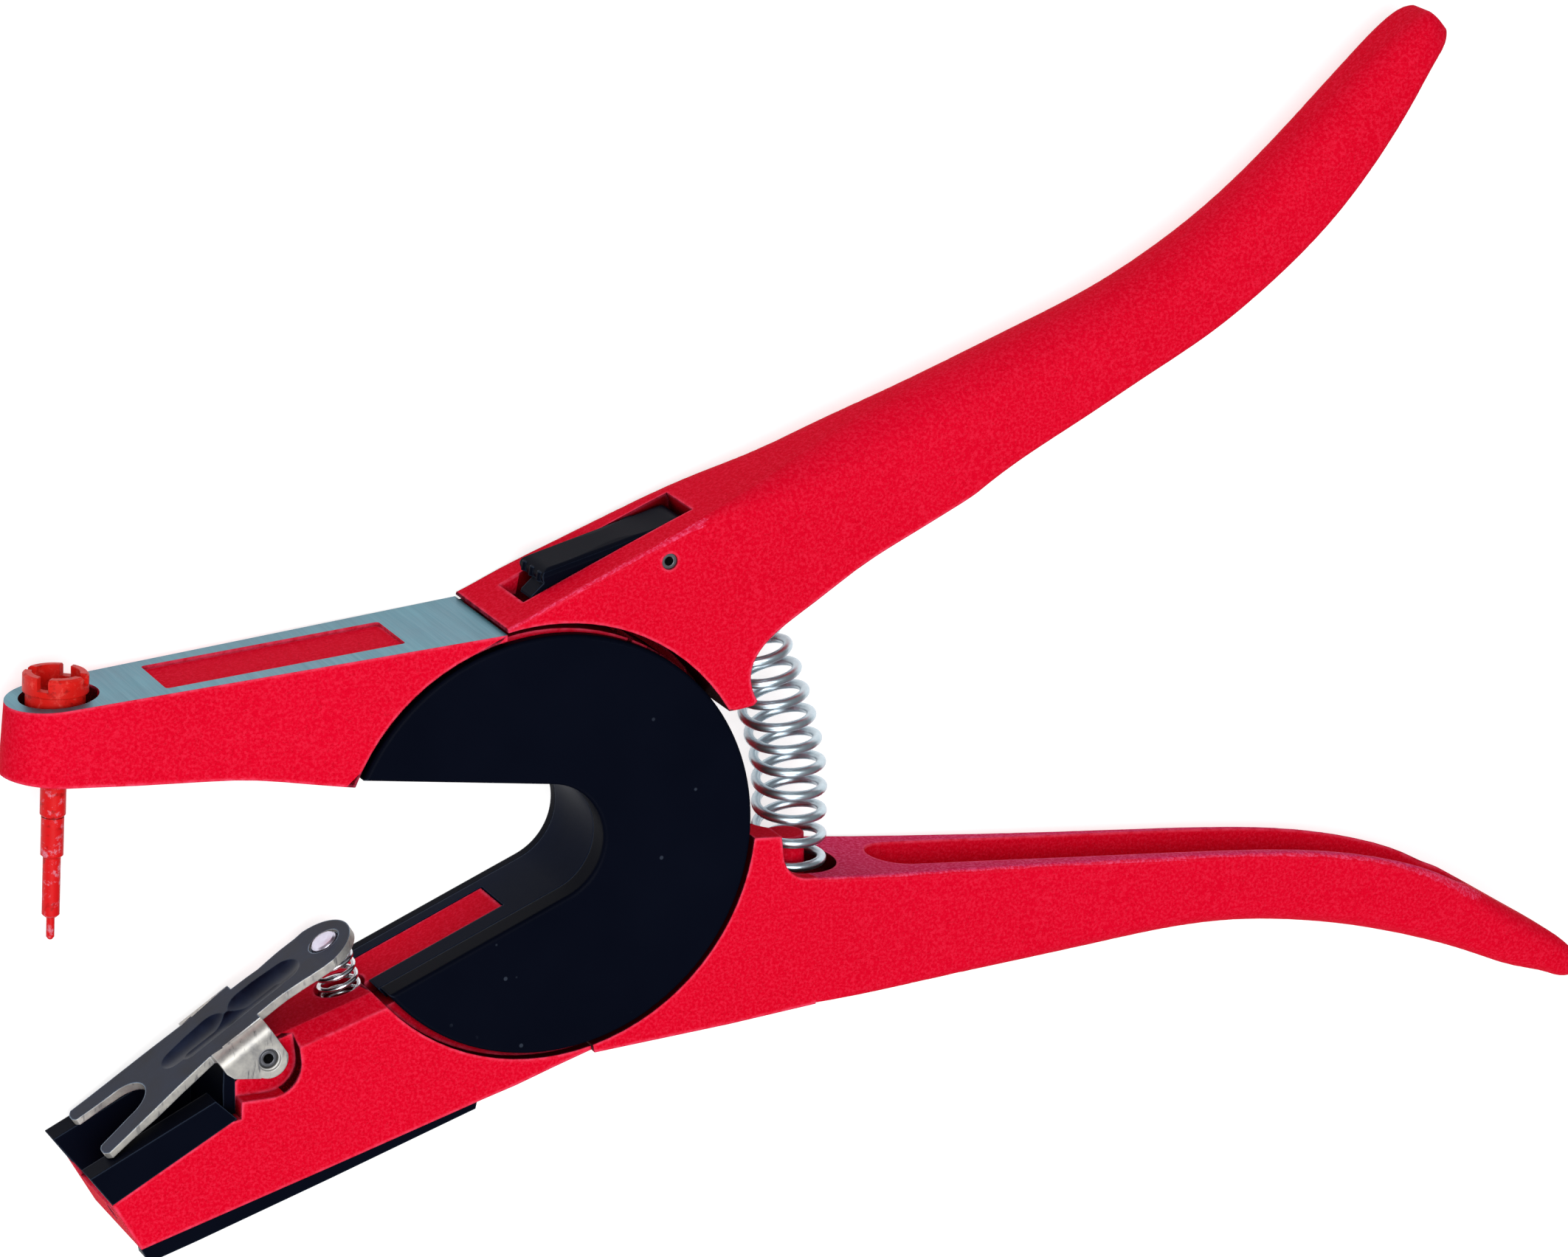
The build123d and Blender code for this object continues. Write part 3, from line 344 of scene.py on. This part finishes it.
for poly in jaw.data.polygons:
    x, y, z = seat(poly)
    n = poly.normal
    r = math.hypot(x, y)
    a = math.degrees(math.atan2(y, x))
    if x < -6.3 and abs(y - (33.2 + (x + 6.55) * 0.0709)) < 0.03 and n.y > 0.9:
        poly.material_index = 1
    elif x < -60 and math.hypot(x - (-72.55), z - MID) < 6.0 and y > 18.0 and not (y < 19.0 and n.y < -0.5):
        poly.material_index = 4          # nose counterbore, near-black painted shade
    # spring pocket wall: painted shade, darker red going deeper
    elif math.hypot(x - 43.6, z - MID) < 8.2 and -15.2 < y < -3.0 and x > 38:
        poly.material_index = 3 if math.hypot(x - 43.6, z - MID) > 3.4 else 0
    # lower handle's top face: painted reflection coat
    elif x > 52.0 and n.y > 0.8 and 0.5 < z < 20.8 and y > -30.0 and (abs(z - 10.3) > 5.4 or x < 58 or x > 163) and y > -13.6 - 0.11 * (x - 52.0) - max(0.0, x - 121.0) * 0.36:
        poly.material_index = 2
    elif 44.1 < x <= 52.0 and n.y > 0.8 and y > -14.0:
        poly.material_index = 2
    elif 44.0 < x < 165.0 and y > -32.0 and z > 19.0 - max(0.0, x - 60.0) * 0.05 and 0.25 < n.z < 0.93 and n.y > 0.25:
        poly.material_index = 5          # painted highlight on the near edge of the lower handle's top
    elif r < 34.6 and 10.0 < z < 20.95 and not (58.0 < a < 102.0) and r > 31.0:
        poly.material_index = 4          # gap round the cover, near-black painted shade
for poly in anvil.data.polygons:
    x, y, z = seat(poly)
    r = math.hypot(x, y)
    if -8.0 < x < 25.0 and y > 32.0 and z > 19.0 and 0.25 < poly.normal.z < 0.93 and poly.normal.y > 0.3 and r > 34.4:
        poly.material_index = 5          # painted highlight on the near edge of the upper handle's top
    elif r < 34.6 and 4.0 < z < 20.95 and r > 33.4 and (y > 0 or z > 13.0):
        poly.material_index = 4          # gap round the cover, near-black painted shade
    elif 0.5 < x < 27.0 and 33.9 < y < 47.0 and 5.6 < z < 15.4 and poly.normal.y < 0.93:
        poly.material_index = 3          # latch slot, darkened by painted shade
    elif -49.3 < x < -38.6 and y > -34.6 and abs(z - MID) > 7.1 and abs(poly.normal.z) < 0.5 and x > -42.0:
        poly.material_index = 4          # wall behind the clip's ear, near-black painted shade
    elif math.hypot(x + 63.6, y + 49.9) < 8.0 and math.hypot((x + 66.57) * 0.481 - (y + 51.5) * 0.877, z - 14.0) < 1.6 and z > 12.3:
        poly.material_index = 4          # hole in the front end, near-black painted shade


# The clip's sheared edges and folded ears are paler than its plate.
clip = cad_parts["clip_lever"]
clip.data.materials.append(SHEARED)
out = Vector((-math.sin(math.radians(33)), math.cos(math.radians(33)), 0))
along = Vector((math.cos(math.radians(33)), math.sin(math.radians(33)), 0))
for poly in clip.data.polygons:
    x, y, z = seat(poly)
    u = (x + 31.7) * along.x + (y + 14.8) * along.y
    if abs(poly.normal.dot(out)) < 0.62 or (-24.1 < u < -14.8 and (z > MID + 7.2 or z < MID - 6.6)):
        poly.material_index = 1


# ------------------------------------------------------------------ mesh helpers
def piece(name, bm, material, body, smooth=True):
    mesh = bpy.data.meshes.new(name)
    bmesh.ops.recalc_face_normals(bm, faces=bm.faces)
    bm.to_mesh(mesh)
    bm.free()
    for p in mesh.polygons:
        p.use_smooth = smooth
    mesh.materials.append(material)
    o = bpy.data.objects.new(name, mesh)
    bpy.context.scene.collection.objects.link(o)
    if body:
        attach(o, body)
    return o


def tube(bm, path, radius, sides=14, radii=None):
    """Round wire along a list of points in mm of the drawing frame, capped at both ends."""
    pts = [Vector(p) for p in path]
    tangent = (pts[1] - pts[0]).normalized()
    up = Vector((0, 0, 1)) if abs(tangent.z) < 0.9 else Vector((1, 0, 0))
    side = tangent.cross(up).normalized()
    rings = []
    for i, p in enumerate(pts):
        a, b = pts[max(i - 1, 0)], pts[min(i + 1, len(pts) - 1)]
        t = (b - a).normalized()
        side = (side - t * side.dot(t)).normalized()
        other = t.cross(side)
        r = radii[i] if radii else radius
        ring = []
        for k in range(sides):
            w = 2 * math.pi * k / sides
            q = p + side * (r * math.cos(w)) + other * (r * math.sin(w))
            ring.append(bm.verts.new(pt(*q)))
        rings.append(ring)
    for a, b in zip(rings[:-1], rings[1:]):
        for k in range(sides):
            bm.faces.new((a[k], a[(k + 1) % sides], b[(k + 1) % sides], b[k]))
    bm.faces.new(rings[0][::-1])
    bm.faces.new(rings[-1])


# ------------------------------------------------------------------ springs
def main_spring():
    """Return spring bent round the virtual pivot; its turns lean less than the bend."""
    wire, coil, radius = 0.76, 5.1, 43.75
    turns, first, pitch, dead = 12.85, -13.5, 3.84, 1.6
    at = (-14.0, 0.0, 5.0, 8.0, 12.0, 16.0, 20.0, 24.0, 28.0, 33.0)
    add_x = (0.60, 0.55, 0.42, 0.18, 0.0, 0.02, 0.15, 0.42, 0.85, 1.30)
    add_y = (0.0, 0.0, 0.0, 0.0, 0.0, 0.15, 0.35, 0.60, 0.80, 1.00)
    path = []
    steps = int(turns * 36)
    for i in range(18, steps + 1):
        w = i / steps * turns
        if w < 1.0:
            s = first + dead * w
        elif w > turns - 1.0:
            s = first + dead + pitch * (turns - 2.0) + dead * (w - turns + 1.0)
        else:
            s = first + dead + pitch * (w - 1.0)
        phase = 2 * math.pi * w
        g = max(s, 0.0) / radius
        c = Vector((radius * math.cos(g), radius * math.sin(g) if s > 0 else s, MID))
        c += Vector((float(np.interp(s, at, add_x)), float(np.interp(s, at, add_y)), 0))
        lean = math.radians(7) + 0.35 * g
        rad = Vector((math.cos(lean), math.sin(lean), 0))
        up = Vector((0, 0, 1)) - Vector((-math.sin(lean), math.cos(lean), 0)) * 0.07
        path.append(c + rad * (coil * math.cos(phase)) + up * (coil * math.sin(phase)))
    bm = bmesh.new()
    tube(bm, path, wire, 16)
    o = piece("main_spring_wire", bm, WIRE, None)
    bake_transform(o)
    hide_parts("main_spring")


def straight_coil(name, a, b, coil, wire, turns, first, material, body):
    a, b = Vector(a), Vector(b)
    axis = (b - a).normalized()
    u = axis.cross(Vector((0, 0, 1))).normalized()
    v = axis.cross(u)
    length = (b - a).length
    steps = int(turns * 32)
    path = []
    for i in range(steps + 1):
        w = i / steps * turns
        e, end = 0.8, wire * 2.1
        if w < e:
            s = w * end
        elif w > turns - e:
            s = length - (turns - w) * end
        else:
            s = e * end + (w - e) / (turns - 2 * e) * (length - 2 * e * end)
        phase = 2 * math.pi * w + first
        path.append(a + axis * s + u * (coil * math.cos(phase)) + v * (coil * math.sin(phase)))
    bm = bmesh.new()
    tube(bm, path, wire, 12)
    return piece(name, bm, material, body)


main_spring()
sp0, spd = Vector((-28.4, -25.2)), Vector((-0.2625, 0.9649))
a = (*(sp0 + spd * 0.4), MID)
b = (*(sp0 + spd * 9.1), MID)
clip_coil = straight_coil("clip_spring_wire", a, b, 3.0, 0.38, 6.0, 0.6, CHROME, None)
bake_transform(clip_coil)
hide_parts("clip_spring")

# Torsion spring of the latch: a leg on the casting, close turns, a leg in the lever.
lx, ly, wire = 19.35, 41.65, 0.3
path = [(lx - 1.0, ly - 3.65, 11.45), (lx - 1.42, ly - 2.05, 11.45)]
for i in range(101):
    t = math.radians(194 - 997 * i / 100)
    path.append((lx + 1.9 * math.cos(t), ly + 1.9 * math.sin(t), 11.45 - 1.9 * i / 100))
path += [(lx - 4.0, ly - 2.0, 9.55), (lx - 8.0, ly - 2.2, 9.55)]
bm = bmesh.new()
tube(bm, path, wire, 10)
coil = piece("latch_spring_wire", bm, CHROME, None)
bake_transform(coil)
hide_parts("latch_spring")

# ------------------------------------------------------------------ stage
def area(name, place, target, size, energy, colour=(1, 1, 1)):
    data = bpy.data.lights.new(name, "AREA")
    data.shape = "RECTANGLE"
    data.size, data.size_y = size
    data.energy = energy
    data.color = colour
    o = bpy.data.objects.new(name, data)
    bpy.context.scene.collection.objects.link(o)
    o.location = place
    o.rotation_mode = "QUATERNION"
    o.rotation_quaternion = (Vector(target) - Vector(place)).to_track_quat("-Z", "Y")
    return o


bm = bmesh.new()
s = 3.0
bm.faces.new([bm.verts.new(p) for p in ((-s, -s, -0.0002), (s, -s, -0.0002), (s, s, -0.0002), (-s, s, -0.0002))])
floor_mesh = bpy.data.meshes.new("floor")
bm.to_mesh(floor_mesh)
bm.free()
floor = bpy.data.objects.new("floor", floor_mesh)
bpy.context.scene.collection.objects.link(floor)
n = Nodes("pale_floor")
n.bsdf.inputs["Emission Color"].default_value = (1, 1, 1, 1)
n.bsdf.inputs["Emission Strength"].default_value = 0.70
floor_mesh.materials.append(n.surface(base=(0.42, 0.42, 0.42), rough=0.75))

world = bpy.data.worlds.new("soft_white")
bpy.context.scene.world = world
world.use_nodes = True
world.node_tree.nodes["Background"].inputs[0].default_value = (0.93, 0.95, 1.0, 1)
world.node_tree.nodes["Background"].inputs[1].default_value = 0.24

area("key", (-0.40, 0.26, 1.55), (0, 0, 0), (1.1, 1.1), 28.0)
area("fill", (-0.35, -1.1, 1.1), (0, 0, 0), (0.9, 0.7), 8.0, (0.96, 0.97, 1.0))

cam_data = bpy.data.cameras.new("camera")
cam = bpy.data.objects.new("camera", cam_data)
bpy.context.scene.collection.objects.link(cam)
cam_data.sensor_fit = "HORIZONTAL"
cam_data.sensor_width = 36.0
cam_data.lens = 9100.0 / 2125.0 * 36.0
cam_data.clip_start, cam_data.clip_end = 0.05, 20
right = Vector((0.91044736, 0.01725104, 0.41326507))
up = Vector((0.10844852, 0.95422058, -0.27875081))
back = Vector((-0.39915477, 0.29860592, 0.86689675))
eye = Vector((-0.363632 - OX / 1000, 0.329717 - OY / 1000, 0.893536))
m = Matrix((right, up, back)).transposed().to_4x4()
m.translation = eye
cam.matrix_world = m
bpy.context.scene.camera = cam
bpy.context.scene.view_settings.view_transform = "Standard"
